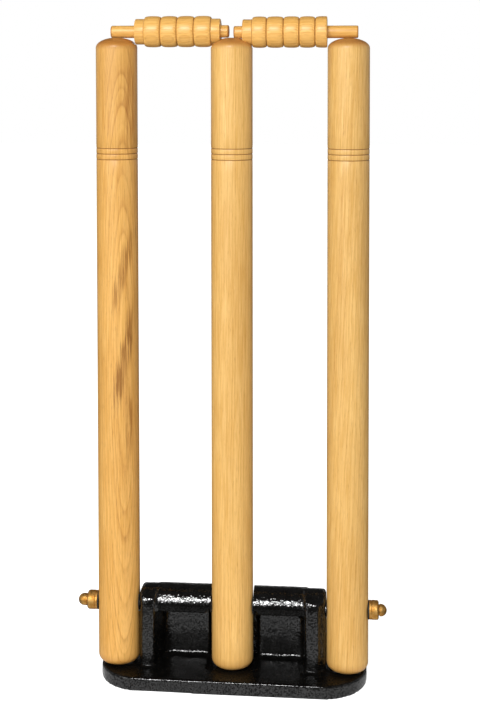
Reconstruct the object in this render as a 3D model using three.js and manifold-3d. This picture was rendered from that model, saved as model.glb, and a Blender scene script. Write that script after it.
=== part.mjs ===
// Three turned cricket stumps with two bails, on a cast base with spring return.
// Millimetres, +Z up, +X to the bowler's right, -Y towards the bowler.
// The origin is on the ground, under the pivot rod, in line with the centre stump.
import * as THREE from "three";
import { mergeVertices } from "three/addons/utils/BufferGeometryUtils.js";
import Module from "manifold-3d";

const wasm = await Module();
wasm.setup();

// Clearances
const fitGap = 0.3; // between pieces that fit in or turn on each other
const overrun = 5; // how far a cut runs past the face that it opens

// Stumps
const stumpRadius = 18.75;
const stumpLength = 570.7;
const stumpSpacing = 104.5;
const crownHeight = 8.5;
const footRounding = 8.5;
const ringDrop = 97.9; // from the top of the crown to the first turned ring
const ringPitch = 4.95;
const ringCount = 3;
const ringWidth = 1.1;
const ringDepth = 0.45;
const spotFaceDepth = 0.3;

// Bails
const spigotRadius = 5.5;
const spigotBevel = 1;
const collarRadius = 11.45;
const valleyRadius = 12;
const beadRadius = 13.65;
const seatDepth = 0.65; // depth of the groove at the top of a crown
const grooveEase = 0.6; // how much wider the groove's round is than the spigot
const collarEase = 0.4;
const tipGap = 3.7; // between the two bails, over the centre stump
const tipShift = -0.75; // the pair lies a little left of the middle
const beadCount = 4;
const leftBail = { shortSpigot: 7.8, innerCollar: 8.3, outerCollar: 8.8, longSpigot: 21.5 };
const rightBail = { shortSpigot: 8, innerCollar: 8.3, outerCollar: 0, longSpigot: 27.5 };
const outerCollarLap = 2.85; // the left bail's outer collar reaches this far over its stump
const endBeadShare = 0.78; // the right bail ends in a bead cut off at this share

// Pivot rod and what is threaded on it
const rodHeight = 67;
const rodRadius = 4;
const washerRadius = 8.4;
const fibreThickness = 1.2;
const brassThickness = 2.4;
const nutRadius = 8.5;
const nutLength = 7.1;
const nutRounding = 2;
const domeRadius = 5.4;
const domeLength = 7.2;
const neckDepth = 0.5;
const neckWidth = 0.8;
const rodInNut = 9.5; // how far the rod is screwed into a nut
const innerWasherRadius = 7.5;
const spacerThickness = 1;
const thrustThickness = 1.5;
const bushWall = 2;

// Lock screws, put in from behind
const screwHeadRadius = 4;
const screwHeadLength = 3;
const screwShankRadius = 2.5;
const screwSink = 1.2; // from the back of the stump to the screw's head
const screwSlotWidth = 1.2;
const screwSlotDepth = 1.2;

// Cast base: the plate
const plateThickness = 11;
const footClearance = 2; // from the plate to the foot of a stump
const plateInset = 2.75; // the outer stumps overhang the plate's ends by this
const plateFrontMargin = 18; // from the front of the stumps to the plate's front
const plateRear = 78;
const plateCorner = 38;
const plateDraft = 0.6;
const plateRounding = 2.4;
const plateFootBevel = 0.8;

// Cast base: the lugs
const lugWidth = 21;
const lugFront = 13;
const lugCrestAboveRod = 14.2;
const lugCrestBack = 4.5; // the crest's distance behind the rod
const lugCrestRadius = 14;
const lugBendRadius = 5;
const lugSlopeAngle = THREE.MathUtils.degToRad(35);
const noseWidth = 10.2;
const noseOutset = 4.9; // from the lug's outer face in to the nose
const noseTaper = 7; // how far back the nose's outer side runs before it meets the outer face
const noseRounding = 2.4;
const lugTopOuterRounding = 6;
const lugTopInnerRounding = 2.5;

// Cast base: the hood over the springs and the web under it
const hoodRadius = 15.5;
const hoodWall = 3.2;
const hoodBack = 4; // the hood's centre line is this far behind the rod
const hoodDrop = 2; // and this far below it
const hoodRearAngle = THREE.MathUtils.degToRad(30);
const webFront = 17;
const webRear = 29;
const webShoulderDrop = 3; // the web's back edge lies this far below the rod
const webTopDrop = 7;
const webFillet = 6;
const slotClearance = 1.85; // each side of the centre stump, in the hood
const pocketClearance = 4.25; // each side of the centre stump, in the web
const swingAngle = THREE.MathUtils.degToRad(60);
const swingGap = 1.5;

// Stop buffer
const bufferThickness = 3.9;
const bufferWidth = 16;
const bufferHeight = 30;
const bufferFoot = 7; // above the plate
const bufferBevel = 1.5;

// Torsion springs
const wireRadius = 1.4;
const springTurns = 12;
const stepsPerTurn = 8;
const wireSides = 5;
const leadSteps = 3; // steps over which the end of the wire leaves the coil
const tailRadius = 9.8; // from the rod's axis to the wire's end
const tailAngle = THREE.MathUtils.degToRad(-45);
const tailBend = 2.2;
const tailInStump = 7;
const tailInLug = 8;

// Facets
const stumpSides = 36;
const bailSides = 22;
const roundSides = 24;
const smallSides = 16;
const arcSteps = 8;

// Places that follow from the sizes
const stumpFoot = plateThickness + footClearance - rodHeight; // from the rod's axis
const crownTop = stumpFoot + stumpLength;
const bailAxis = crownTop - seatDepth + fitGap + spigotRadius;
const lugOuter = stumpSpacing - stumpRadius + spotFaceDepth - spacerThickness - 2 * fitGap;
const lugInner = lugOuter - lugWidth;
const noseOuter = lugOuter - noseOutset;
const noseInner = noseOuter - noseWidth;
const lugCrest = rodHeight + lugCrestAboveRod;
const plateHalf = stumpSpacing + stumpRadius - plateInset;
const plateFront = stumpRadius + plateFrontMargin;
const pocketFloor = stumpRadius + fitGap + bufferThickness;
const pocketHalf = stumpRadius + pocketClearance;
const slotHalf = stumpRadius + slotClearance;
const slotDrop = (stumpRadius - pocketFloor * Math.cos(swingAngle)) / Math.sin(swingAngle) + swingGap;
const boreRadius = rodRadius + fitGap;
const bushRadius = boreRadius + bushWall;
const outerStack = stumpSpacing + stumpRadius - spotFaceDepth;
const rodHalf = outerStack + fibreThickness + brassThickness + rodInNut;
const thrustOuter = stumpRadius - spotFaceDepth + thrustThickness;
const bushInner = lugInner + fitGap;
const coilStart = thrustOuter + fitGap + wireRadius;
const coilEnd = bushInner - fitGap - wireRadius;
const chordShare = Math.cos(Math.PI / stepsPerTurn);
const coilRadius = (rodRadius + fitGap + wireRadius) / chordShare;

// Finishes, from the photograph
function finish(color, roughness, metalness) {
  return new THREE.MeshStandardMaterial({ color, roughness, metalness });
}
const ash = finish(0xd9a95c, 0.38, 0);
const darkAsh = finish(0xcf9850, 0.38, 0);
const enamel = finish(0x17181a, 0.25, 0.2);
const brass = finish(0xc8923c, 0.25, 1);
const steel = finish(0x9a9da1, 0.35, 1);
const springSteel = finish(0x4a4c50, 0.45, 1);
const bronze = finish(0x9c6b3a, 0.4, 1);
const fibre = finish(0x141414, 0.7, 0);
const rubber = finish(0x1c1c1c, 0.85, 0);

// A closed geometry as a solid, and a solid as a geometry
function solid(geometry) {
  const bare = geometry.clone();
  bare.deleteAttribute("normal");
  if (bare.getAttribute("uv")) bare.deleteAttribute("uv");
  const merged = mergeVertices(bare);
  const vertProperties = new Float32Array(merged.attributes.position.array);
  const triVerts = new Uint32Array(merged.index.array);
  return new wasm.Manifold(new wasm.Mesh({ numProp: 3, vertProperties, triVerts }));
}

function geometryOf(made) {
  const mesh = made.getMesh();
  const geometry = new THREE.BufferGeometry();
  geometry.setAttribute("position", new THREE.BufferAttribute(mesh.vertProperties, 3));
  geometry.setIndex(new THREE.BufferAttribute(mesh.triVerts, 1));
  const flat = geometry.toNonIndexed();
  flat.computeVertexNormals();
  return flat;
}

// Solids along the three axes
const alongX = new THREE.Matrix4().makeBasis(
  new THREE.Vector3(0, 1, 0), new THREE.Vector3(0, 0, 1), new THREE.Vector3(1, 0, 0));
const alongY = new THREE.Matrix4().makeBasis(
  new THREE.Vector3(1, 0, 0), new THREE.Vector3(0, 0, 1), new THREE.Vector3(0, -1, 0));

function prism(shape, depth) {
  return new THREE.ExtrudeGeometry(shape, { depth, bevelEnabled: false, curveSegments: arcSteps });
}

// A (y, z) outline, extruded from x0 to x1
function prismX(shape, x0, x1) {
  return solid(prism(shape, x1 - x0).applyMatrix4(alongX).translate(x0, 0, 0));
}

// An (x, z) outline, extruded from y0 to y1
function prismY(shape, y0, y1) {
  return solid(prism(shape, y1 - y0).applyMatrix4(alongY).translate(0, y1, 0));
}

// An (x, y) outline, extruded from z0 to z1
function prismZ(shape, z0, z1) {
  return solid(prism(shape, z1 - z0).translate(0, 0, z0));
}

function box(low, high) {
  const size = new THREE.Vector3().subVectors(high, low);
  const middle = new THREE.Vector3().addVectors(low, high).multiplyScalar(0.5);
  return solid(new THREE.BoxGeometry(size.x, size.y, size.z).translate(middle.x, middle.y, middle.z));
}

// A (radius, height) profile that starts and ends on the axis, turned about Z, X or Y
function turned(profile, sides) {
  const points = profile.map(([r, h]) => new THREE.Vector2(r, h));
  return new THREE.LatheGeometry(points, sides).rotateX(Math.PI / 2);
}

function turnedX(profile, sides) {
  return turned(profile, sides).rotateY(Math.PI / 2);
}

function turnedY(profile, sides) {
  return turned(profile, sides).rotateX(-Math.PI / 2);
}

function rodAlong(turn, radius, from, to, sides) {
  return solid(turn([[0, from], [radius, from], [radius, to], [0, to]], sides));
}

const cylinderX = (radius, from, to, sides = roundSides) => rodAlong(turnedX, radius, from, to, sides);
const cylinderY = (radius, from, to, sides = roundSides) => rodAlong(turnedY, radius, from, to, sides);

// A rectangle in plan with rounded corners, its sides moved in by an inset
function roundedRectangle(x0, x1, y0, y1, corner, inset) {
  const [left, right, low, high] = [x0 + inset, x1 - inset, y0 + inset, y1 - inset];
  const r = corner - inset;
  const shape = new THREE.Shape();
  shape.absarc(right - r, low + r, r, -Math.PI / 2, 0, false);
  shape.absarc(right - r, high - r, r, 0, Math.PI / 2, false);
  shape.absarc(left + r, high - r, r, Math.PI / 2, Math.PI, false);
  shape.absarc(left + r, low + r, r, Math.PI, Math.PI * 1.5, false);
  return shape.extractPoints(arcSteps).shape.slice(0, -1);
}

// A solid through a stack of like outlines, each at its own height
function stacked(levels) {
  const count = levels[0].outline.length;
  const positions = [];
  for (const { outline, height } of levels) {
    for (const p of outline) positions.push(p.x, p.y, height);
  }
  const index = [];
  for (let level = 0; level < levels.length - 1; level += 1) {
    for (let i = 0; i < count; i += 1) {
      const a = level * count + i;
      const b = level * count + ((i + 1) % count);
      index.push(a, b, b + count, a, b + count, a + count);
    }
  }
  const top = (levels.length - 1) * count;
  for (let i = 1; i < count - 1; i += 1) {
    index.push(0, i + 1, i);
    index.push(top, top + i, top + i + 1);
  }
  const geometry = new THREE.BufferGeometry();
  geometry.setAttribute("position", new THREE.Float32BufferAttribute(positions, 3));
  geometry.setIndex(index);
  return new wasm.Manifold(new wasm.Mesh({
    numProp: 3,
    vertProperties: new Float32Array(geometry.attributes.position.array),
    triVerts: new Uint32Array(index),
  }));
}

// The plate: steep sides with a little draft, the top edge rounded over
function plate() {
  const level = (height, inset) => ({
    height,
    outline: roundedRectangle(-plateHalf, plateHalf, -plateFront, plateRear, plateCorner, inset),
  });
  const levels = [level(0, plateFootBevel), level(plateFootBevel, 0)];
  for (let step = 0; step <= arcSteps / 2; step += 1) {
    const angle = (step / (arcSteps / 2)) * (Math.PI / 2);
    const height = plateThickness - plateRounding * (1 - Math.sin(angle));
    levels.push(level(height, plateDraft + plateRounding * (1 - Math.cos(angle))));
  }
  return stacked(levels);
}

// A lug, cut out of three outlines: from the side, from above and from the front
function lugSideOutline() {
  const slope = Math.tan(lugSlopeAngle);
  const crestStart = Math.PI / 2 + lugSlopeAngle;
  const crestEnd = Math.PI / 2 - lugSlopeAngle;
  const crestLow = lugCrest - lugCrestRadius * (1 - Math.cos(lugSlopeAngle));
  const crestRun = lugCrestRadius * Math.sin(lugSlopeAngle);
  const bendY = -lugFront + lugBendRadius;
  const bendEndY = bendY - lugBendRadius * Math.sin(lugSlopeAngle);
  const bendEndZ = crestLow - (lugCrestBack - crestRun - bendEndY) * slope;
  const bendZ = bendEndZ - lugBendRadius * Math.cos(lugSlopeAngle);
  const rearZ = crestLow - (webRear - lugCrestBack - crestRun) * slope;
  const shape = new THREE.Shape();
  shape.moveTo(-lugFront, 0);
  shape.absarc(bendY, bendZ, lugBendRadius, Math.PI, crestStart, true);
  shape.absarc(lugCrestBack, lugCrest - lugCrestRadius, lugCrestRadius, crestStart, crestEnd, true);
  shape.lineTo(webRear, rearZ);
  shape.lineTo(webRear, 0);
  shape.closePath();
  return shape;
}

function lugPlanOutline() {
  const shape = new THREE.Shape();
  const r = noseRounding;
  shape.moveTo(lugInner, webRear);
  shape.lineTo(lugInner, webFront);
  shape.lineTo(noseInner, -lugFront + r);
  shape.quadraticCurveTo(noseInner, -lugFront, noseInner + r, -lugFront);
  shape.lineTo(noseOuter - r, -lugFront);
  shape.quadraticCurveTo(noseOuter, -lugFront, noseOuter + r / 2, -lugFront + r);
  shape.lineTo(lugOuter, -lugFront + noseTaper);
  shape.lineTo(lugOuter, webRear);
  shape.closePath();
  return shape;
}

function lugFrontOutline() {
  const shape = new THREE.Shape();
  shape.moveTo(lugInner, 0);
  shape.lineTo(lugOuter, 0);
  shape.lineTo(lugOuter, lugCrest - lugTopOuterRounding);
  shape.quadraticCurveTo(lugOuter, lugCrest, lugOuter - lugTopOuterRounding, lugCrest);
  shape.lineTo(lugInner + lugTopInnerRounding, lugCrest);
  shape.quadraticCurveTo(lugInner, lugCrest, lugInner, lugCrest - lugTopInnerRounding);
  shape.closePath();
  return shape;
}

function lug() {
  const side = prismX(lugSideOutline(), lugInner, lugOuter);
  const plan = prismZ(lugPlanOutline(), 0, lugCrest);
  const front = prismY(lugFrontOutline(), -lugFront, webRear);
  return side.intersect(plan).intersect(front);
}

// The hood and the web as one section, from the lip over the top and down the back
function hoodOutline() {
  const y = hoodBack;
  const z = rodHeight - hoodDrop;
  const inner = hoodRadius - hoodWall;
  const shape = new THREE.Shape();
  shape.moveTo(y - hoodRadius, z);
  shape.absarc(y, z, hoodRadius, Math.PI, hoodRearAngle, true);
  shape.lineTo(webRear, rodHeight - webShoulderDrop);
  shape.lineTo(webRear, 0);
  shape.lineTo(webFront - webFillet, 0);
  shape.lineTo(webFront - webFillet, plateThickness);
  shape.absarc(webFront - webFillet, plateThickness + webFillet, webFillet, -Math.PI / 2, 0, false);
  shape.lineTo(webFront, rodHeight - webTopDrop);
  shape.absarc(y, z, inner, 0, Math.PI, false);
  shape.closePath();
  return shape;
}

function castBase() {
  const nose = lugFront + overrun;
  let base = plate();
  base = base.add(prismX(hoodOutline(), -noseInner, noseInner));
  const side = lug();
  base = base.add(side).add(side.mirror([1, 0, 0]));
  const slot = box(
    new THREE.Vector3(-slotHalf, -nose, rodHeight - slotDrop),
    new THREE.Vector3(slotHalf, webRear + overrun, lugCrest + overrun));
  const pocket = box(
    new THREE.Vector3(-pocketHalf, -nose, plateThickness),
    new THREE.Vector3(pocketHalf, pocketFloor, rodHeight - hoodDrop));
  base = base.subtract(slot).subtract(pocket);
  const hole = bushRadius + fitGap;
  const tailHole = wireRadius + fitGap;
  const tailY = tailRadius * Math.cos(tailAngle);
  const tailZ = tailRadius * Math.sin(tailAngle);
  for (const sign of [-1, 1]) {
    const from = Math.min(sign * (lugInner - overrun), sign * (lugOuter + overrun));
    const to = Math.max(sign * (lugInner - overrun), sign * (lugOuter + overrun));
    base = base.subtract(cylinderX(hole, from, to).translate([0, 0, rodHeight]));
    const deep = lugInner + tailInLug + fitGap;
    const low = Math.min(sign * (lugInner - overrun), sign * deep);
    const high = Math.max(sign * (lugInner - overrun), sign * deep);
    base = base.subtract(cylinderX(tailHole, low, high, smallSides).translate([0, tailY, rodHeight + tailZ]));
  }
  return base;
}

// A stump, from the rod's axis: rounded foot, three fine rings, a crown
function stumpProfile() {
  const profile = [[0, stumpFoot]];
  for (let step = 0; step <= arcSteps / 2; step += 1) {
    const angle = (step / (arcSteps / 2)) * (Math.PI / 2);
    const r = stumpRadius - footRounding * (1 - Math.sin(angle));
    profile.push([r, stumpFoot + footRounding * (1 - Math.cos(angle))]);
  }
  for (let ring = ringCount - 1; ring >= 0; ring -= 1) {
    const z = crownTop - ringDrop - ring * ringPitch;
    profile.push([stumpRadius, z - ringWidth / 2], [stumpRadius - ringDepth, z]);
    profile.push([stumpRadius, z + ringWidth / 2]);
  }
  for (let step = 0; step < arcSteps; step += 1) {
    const angle = (step / arcSteps) * (Math.PI / 2);
    const r = stumpRadius * Math.cos(angle);
    profile.push([r, crownTop - crownHeight * (1 - Math.sin(angle))]);
  }
  profile.push([0, crownTop]);
  return profile;
}

// What every stump has cut in it: the rod's bore, a face for a washer each side,
// the bail's groove and the lock screw's hole
function stump(bailSeats, spotRadius) {
  let made = solid(turned(stumpProfile(), stumpSides));
  const past = stumpRadius + overrun;
  made = made.subtract(cylinderX(boreRadius, -past, past));
  const face = stumpRadius - spotFaceDepth;
  made = made.subtract(cylinderX(spotRadius, face, past)).subtract(cylinderX(spotRadius, -past, -face));
  const groove = cylinderX(spigotRadius + grooveEase, -past, past);
  made = made.subtract(groove.translate([0, 0, bailAxis - fitGap + grooveEase]));
  for (const [radius, from, to] of bailSeats) {
    const seat = cylinderX(radius + collarEase, from, to, stumpSides);
    made = made.subtract(seat.translate([0, 0, bailAxis]));
  }
  const headFloor = stumpRadius - screwSink - screwHeadLength - fitGap;
  const headHole = cylinderY(screwHeadRadius + fitGap, headFloor, past);
  const shankHole = cylinderY(screwShankRadius + fitGap, 0, past);
  return made.subtract(headHole).subtract(shankHole);
}

// The holes for the spring tails, in the sides of the centre stump
function centreStump(bailSeats) {
  let made = stump(bailSeats, innerWasherRadius + fitGap);
  const tailY = tailRadius * Math.cos(tailAngle);
  const tailZ = tailRadius * Math.sin(tailAngle);
  const deep = stumpRadius - tailInStump - fitGap;
  const past = stumpRadius + overrun;
  for (const [from, to] of [[-past, -deep], [deep, past]]) {
    const hole = cylinderX(wireRadius + fitGap, from, to, smallSides);
    made = made.subtract(hole.translate([0, tailY, tailZ]));
  }
  return made;
}

// A bail's profile, from its tip at the centre stump outwards
function beadProfile(start, length, from, to) {
  const stationShares = [-0.92, -0.72, -0.4, 0, 0.4, 0.72, 0.92];
  const points = [];
  for (const share of stationShares) {
    const bulge = Math.cbrt(1 - Math.abs(share) ** 3);
    if (share > from && share < to) {
      const r = valleyRadius + (beadRadius - valleyRadius) * bulge;
      points.push([r, start + (length * (share + 1)) / 2]);
    }
  }
  return points;
}

function bail(sizes, length, endBead) {
  let x = 0;
  const profile = [[0, 0], [spigotRadius - spigotBevel, 0], [spigotRadius, spigotBevel]];
  x += sizes.shortSpigot;
  profile.push([spigotRadius, x], [collarRadius, x]);
  x += sizes.innerCollar;
  profile.push([collarRadius, x]);
  for (let bead = 0; bead < beadCount; bead += 1) {
    profile.push([valleyRadius, x], ...beadProfile(x, length, -1, 1));
    x += length;
  }
  profile.push([valleyRadius, x]);
  if (endBead) {
    const cut = length * endBeadShare;
    profile.push(...beadProfile(x, length, -1, 2 * endBeadShare - 1));
    x += cut;
    profile.push([beadRadius, x]);
  } else {
    profile.push([collarRadius, x]);
    x += sizes.outerCollar;
    profile.push([collarRadius, x]);
  }
  profile.push([spigotRadius, x]);
  x += sizes.longSpigot;
  profile.push([spigotRadius, x - spigotBevel], [spigotRadius - spigotBevel, x], [0, x]);
  return solid(turnedX(profile, bailSides));
}

// Where each bail starts, and how long its beads have to be to reach the outer stumps
const leftTip = tipGap / 2 - tipShift;
const rightTip = tipGap / 2 + tipShift;
const leftBarrel = leftTip + leftBail.shortSpigot + leftBail.innerCollar;
const rightBarrel = rightTip + rightBail.shortSpigot + rightBail.innerCollar;
const leftCollarEnd = stumpSpacing - stumpRadius + outerCollarLap;
const leftBead = (leftCollarEnd - leftBail.outerCollar - leftBarrel) / beadCount;
const rightBead = (stumpSpacing - stumpRadius - fitGap - rightBarrel) / (beadCount + endBeadShare);

// A round cap nut with a rounded shoulder, a neck and a domed end, its seat at zero
function capNut() {
  const neck = domeRadius - neckDepth;
  const profile = [[0, 0], [nutRadius, 0]];
  for (let step = 0; step <= arcSteps / 2; step += 1) {
    const angle = (step / (arcSteps / 2)) * (Math.PI / 2);
    const r = nutRadius - nutRounding * (1 - Math.cos(angle));
    profile.push([r, nutLength - nutRounding * (1 - Math.sin(angle))]);
  }
  profile.push([neck, nutLength], [neck, nutLength + neckWidth], [domeRadius, nutLength + neckWidth]);
  const shoulder = nutLength + domeLength - domeRadius;
  for (let step = 0; step < arcSteps; step += 1) {
    const angle = (step / arcSteps) * (Math.PI / 2);
    profile.push([domeRadius * Math.cos(angle), shoulder + domeRadius * Math.sin(angle)]);
  }
  profile.push([0, nutLength + domeLength]);
  const nut = solid(turnedX(profile, roundSides));
  return nut.subtract(cylinderX(boreRadius, -overrun, rodInNut + fitGap));
}

// A flat ring on the rod, from one x to another
function ring(radius, from, to) {
  return cylinderX(radius, from, to).subtract(cylinderX(boreRadius, from - overrun, to + overrun));
}

// A lock screw: a slotted cheese head, and a shank that ends at the rod
function lockScrew() {
  const headEnd = stumpRadius - screwSink;
  const headStart = headEnd - screwHeadLength;
  const shank = cylinderY(screwShankRadius, boreRadius, headStart + fitGap, smallSides);
  const head = cylinderY(screwHeadRadius, headStart, headEnd);
  const slot = box(
    new THREE.Vector3(-screwHeadRadius - overrun, headEnd - screwSlotDepth, -screwSlotWidth / 2),
    new THREE.Vector3(screwHeadRadius + overrun, headEnd + overrun, screwSlotWidth / 2));
  return head.add(shank).subtract(slot);
}

// The rubber pad on the floor of the pocket, its edges bevelled
function stopBuffer() {
  const low = plateThickness + bufferFoot;
  const outline = (inset) => [
    new THREE.Vector2(-bufferWidth / 2 + inset, low + inset),
    new THREE.Vector2(bufferWidth / 2 - inset, low + inset),
    new THREE.Vector2(bufferWidth / 2 - inset, low + bufferHeight - inset),
    new THREE.Vector2(-bufferWidth / 2 + inset, low + bufferHeight - inset),
  ];
  const levels = [
    { outline: outline(0), height: 0 },
    { outline: outline(0), height: bufferThickness - bufferBevel },
    { outline: outline(bufferBevel), height: bufferThickness },
  ];
  return stacked(levels).rotate([90, 0, 0]).translate([0, pocketFloor, 0]);
}

// A spring's wire: from its end in the lug, round the rod, to its end in the centre stump
function springPath(sign) {
  const steps = springTurns * stepsPerTurn;
  const at = (x, radius, angle) => new THREE.Vector3(
    sign * x, radius * Math.cos(angle), radius * Math.sin(angle));
  const points = [];
  for (let step = 0; step <= steps; step += 1) {
    const angle = tailAngle + (step / stepsPerTurn) * 2 * Math.PI;
    const x = coilStart + ((coilEnd - coilStart) * step) / steps;
    const fromEnd = Math.min(step, steps - step);
    const leave = Math.max(0, 1 - fromEnd / leadSteps);
    points.push(at(x, coilRadius + (tailRadius - coilRadius) * leave, angle));
  }
  const inStump = stumpRadius - tailInStump;
  const inLug = lugInner + tailInLug;
  points[0].x -= sign * tailBend / 2;
  points[steps].x += sign * tailBend / 2;
  const bend = tailBend + wireRadius;
  points.unshift(at(inStump, tailRadius, tailAngle), at(coilStart - bend, tailRadius, tailAngle));
  points.push(at(coilEnd + bend, tailRadius, tailAngle), at(inLug, tailRadius, tailAngle));
  return points;
}

// The least gap between turns of the wire, measured between points of its path
function leastGap(points) {
  let least = Infinity;
  for (let i = 0; i < points.length; i += 1) {
    for (let j = i + stepsPerTurn / 2; j < points.length; j += 1) {
      least = Math.min(least, points[i].distanceTo(points[j]) - 2 * wireRadius);
    }
  }
  return least;
}

// A round wire through points, its section carried along without twist
function wire(points) {
  const count = points.length;
  const positions = [];
  let across = new THREE.Vector3(0, 0, 1);
  for (let i = 0; i < count; i += 1) {
    const before = points[Math.max(i - 1, 0)];
    const after = points[Math.min(i + 1, count - 1)];
    const tangent = new THREE.Vector3().subVectors(after, before).normalize();
    across = across.clone().addScaledVector(tangent, -across.dot(tangent)).normalize();
    const side = new THREE.Vector3().crossVectors(tangent, across);
    for (let k = 0; k < wireSides; k += 1) {
      const angle = (k / wireSides) * 2 * Math.PI;
      const p = points[i].clone().addScaledVector(across, wireRadius * Math.cos(angle));
      p.addScaledVector(side, wireRadius * Math.sin(angle));
      positions.push(p.x, p.y, p.z);
    }
  }
  const index = [];
  for (let i = 0; i < count - 1; i += 1) {
    for (let k = 0; k < wireSides; k += 1) {
      const a = i * wireSides + k;
      const b = i * wireSides + ((k + 1) % wireSides);
      index.push(a, b, b + wireSides, a, b + wireSides, a + wireSides);
    }
  }
  const last = (count - 1) * wireSides;
  for (let k = 1; k < wireSides - 1; k += 1) {
    index.push(0, k + 1, k);
    index.push(last, last + k, last + k + 1);
  }
  return new wasm.Manifold(new wasm.Mesh({
    numProp: 3,
    vertProperties: new Float32Array(positions),
    triVerts: new Uint32Array(index),
  }));
}

// The assembly: what stands still, and what swings about the rod
const group = new THREE.Group();
const standing = new THREE.Group();
const swinging = new THREE.Group();
swinging.position.z = rodHeight;
group.add(standing, swinging);

function place(parent, name, made, material, x = 0, y = 0, z = 0) {
  const mesh = new THREE.Mesh(geometryOf(made), material);
  mesh.name = name;
  mesh.position.set(x, y, z);
  parent.add(mesh);
}

place(standing, "cast_base", castBase(), enamel);
place(standing, "stop_buffer", stopBuffer(), rubber);

// The seats in the crowns for collars and first beads, from each stump's own axis
const seatEnd = stumpRadius + overrun;
const leftSeats = [[collarRadius, stumpRadius - outerCollarLap - collarEase, seatEnd]];
const centreSeats = [
  [collarRadius, -seatEnd, -leftTip - leftBail.shortSpigot + collarEase],
  [beadRadius, -seatEnd, -leftBarrel + collarEase],
  [collarRadius, rightTip + rightBail.shortSpigot - collarEase, seatEnd],
  [beadRadius, rightBarrel - collarEase, seatEnd],
];
place(swinging, "stump_left", stump(leftSeats, washerRadius + fitGap), darkAsh, -stumpSpacing);
place(swinging, "stump_centre", centreStump(centreSeats), ash);
place(swinging, "stump_right", stump([], washerRadius + fitGap), ash, stumpSpacing);

const leftBailSolid = bail(leftBail, leftBead, false).mirror([1, 0, 0]);
place(swinging, "bail_left", leftBailSolid, ash, -leftTip, 0, bailAxis);
place(swinging, "bail_right", bail(rightBail, rightBead, true), ash, rightTip, 0, bailAxis);

place(swinging, "pivot_rod", cylinderX(rodRadius, -rodHalf, rodHalf), steel);

for (const [side, sign] of [["left", -1], ["right", 1]]) {
  const handed = (made) => (sign < 0 ? made.mirror([1, 0, 0]) : made);
  const brassStart = outerStack + fibreThickness;
  const nutStart = brassStart + brassThickness;
  const spacerEnd = stumpSpacing - stumpRadius + spotFaceDepth;
  const thrustStart = stumpRadius - spotFaceDepth;
  place(swinging, "fibre_washer_" + side, handed(ring(washerRadius, outerStack, brassStart)), fibre);
  place(swinging, "brass_washer_" + side, handed(ring(washerRadius, brassStart, nutStart)), brass);
  place(swinging, "cap_nut_" + side, handed(capNut()), brass, sign * nutStart);
  const spacer = ring(innerWasherRadius, spacerEnd - spacerThickness, spacerEnd);
  place(swinging, "spacer_washer_" + side, handed(spacer), steel);
  place(swinging, "thrust_washer_" + side, handed(ring(innerWasherRadius, thrustStart, thrustOuter)), steel);
  const bush = ring(bushRadius, bushInner, lugOuter).translate([0, 0, rodHeight]);
  place(standing, "bearing_bush_" + side, handed(bush), bronze);
  const path = springPath(sign);
  console.log("torsion_spring_" + side + " least gap " + leastGap(path).toFixed(2) + " mm");
  place(standing, "torsion_spring_" + side, wire(path), springSteel, 0, 0, rodHeight);
}

for (const [name, x] of [["left", -stumpSpacing], ["centre", 0], ["right", stumpSpacing]]) {
  place(swinging, "lock_screw_" + name, lockScrew(), steel, x);
}

export default group;
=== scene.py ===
# Three turned ash stumps with bails on an enamelled casting: fine shapes, finishes and light.
# The frame is in metres. Sizes here are in millimetres, turned into metres by MM.
import math

import bmesh
import bpy
import numpy as np
from mathutils import Matrix, Vector, noise


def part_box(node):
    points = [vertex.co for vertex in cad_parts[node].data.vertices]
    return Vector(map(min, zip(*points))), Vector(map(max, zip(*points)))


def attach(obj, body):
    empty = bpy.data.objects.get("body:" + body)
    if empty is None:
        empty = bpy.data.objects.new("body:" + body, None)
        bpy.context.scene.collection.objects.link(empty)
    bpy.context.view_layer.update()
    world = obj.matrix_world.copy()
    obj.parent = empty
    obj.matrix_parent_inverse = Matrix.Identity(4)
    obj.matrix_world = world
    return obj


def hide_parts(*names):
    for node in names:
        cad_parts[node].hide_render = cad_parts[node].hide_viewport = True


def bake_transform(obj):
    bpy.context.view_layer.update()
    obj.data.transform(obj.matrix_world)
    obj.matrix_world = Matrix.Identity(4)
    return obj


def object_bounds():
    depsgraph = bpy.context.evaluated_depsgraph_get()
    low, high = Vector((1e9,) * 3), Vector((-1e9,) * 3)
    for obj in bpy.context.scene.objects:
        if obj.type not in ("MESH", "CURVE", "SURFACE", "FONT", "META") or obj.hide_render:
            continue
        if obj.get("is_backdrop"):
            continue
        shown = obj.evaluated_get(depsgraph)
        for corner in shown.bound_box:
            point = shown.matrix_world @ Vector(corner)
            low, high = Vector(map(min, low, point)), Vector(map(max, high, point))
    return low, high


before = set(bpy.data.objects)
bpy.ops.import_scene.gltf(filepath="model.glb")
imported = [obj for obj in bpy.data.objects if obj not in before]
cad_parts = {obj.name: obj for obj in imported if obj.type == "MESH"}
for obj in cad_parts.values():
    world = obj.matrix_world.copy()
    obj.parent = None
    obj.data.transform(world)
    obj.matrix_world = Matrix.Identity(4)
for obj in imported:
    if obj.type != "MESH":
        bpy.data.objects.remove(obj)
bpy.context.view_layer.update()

MM = 0.001
# Points nearer than this, in metres, are one point
DOUBLES = 1e-6

# Stumps
STUMP_R = 18.75
STUMP_SPACING = 104.5
STUMP_FOOT = 13
STUMP_TOP = 583.7
CROWN_HEIGHT = 9.2
FOOT_ROUNDING = 6.6
SHAFT_LOW, SHAFT_HIGH = 40, 470
RING_PLACES = (474.6, 479.7, 484.6)
RING_WIDTH = 0.85
RING_DEPTH = 0.4
BORE_R = 4.3
SPOT_DEPTH = 0.3
SPOT_EASE = 0.3
SCREW_HOLE_R = 4.3
SCREW_HOLE_END = 14.25

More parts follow.
